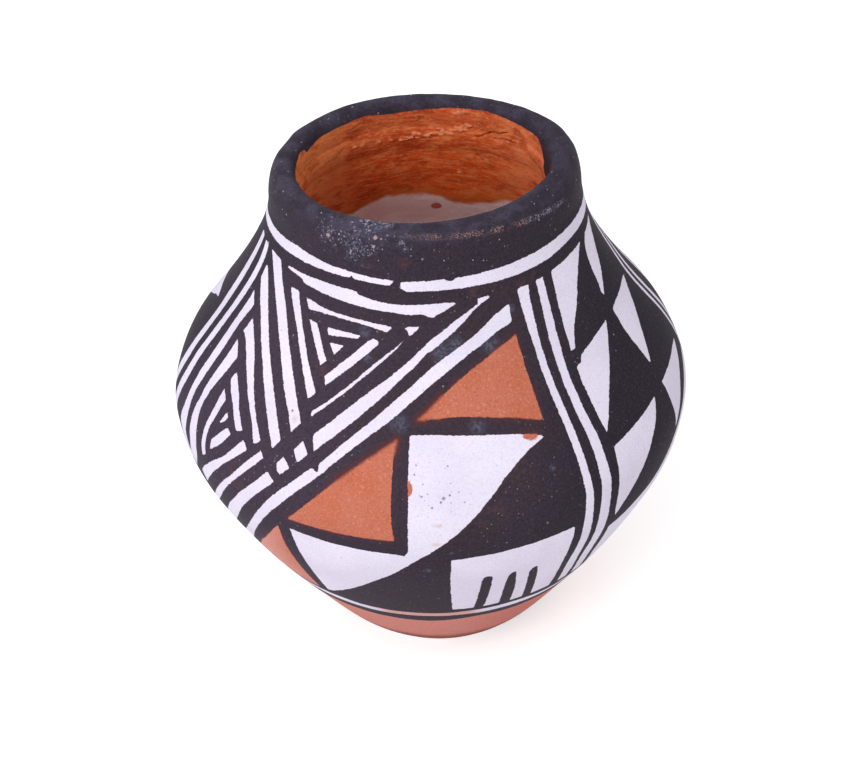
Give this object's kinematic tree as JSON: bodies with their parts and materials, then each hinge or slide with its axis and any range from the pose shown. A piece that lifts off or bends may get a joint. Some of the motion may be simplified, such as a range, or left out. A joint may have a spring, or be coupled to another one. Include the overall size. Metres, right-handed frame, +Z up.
{
  "type": "clay olla",
  "caption": "Small round-bellied clay pot with a narrow neck and rounded lip, built from lapped coils under thin coats of slip and paint.",
  "frame": {"origin": "on the table under the middle of the pot, in the plane of the resting ring", "axes": "+Z up along the pot's axis; the painted front shown in the picture faces -Y"},
  "size_m": [0.0759, 0.076, 0.0778],
  "materials": {
    "clay": "matte",
    "orange_slip": "matte",
    "white_slip": "matte",
    "black_paint": "matte",
    "orange_wash": "matte"
  },
  "bodies": {
    "root": {"base_pat": "clay", "wall_coil_1": "clay", "wall_coil_2": "clay", "wall_coil_3": "clay", "wall_coil_4": "clay", "wall_coil_5": "clay", "rim_coil": "clay", "foot_slip_orange": "orange_slip", "body_slip_white": "white_slip", "rim_paint_black": "black_paint", "inner_wash_orange": "orange_wash"}
  },
  "joints": []
}
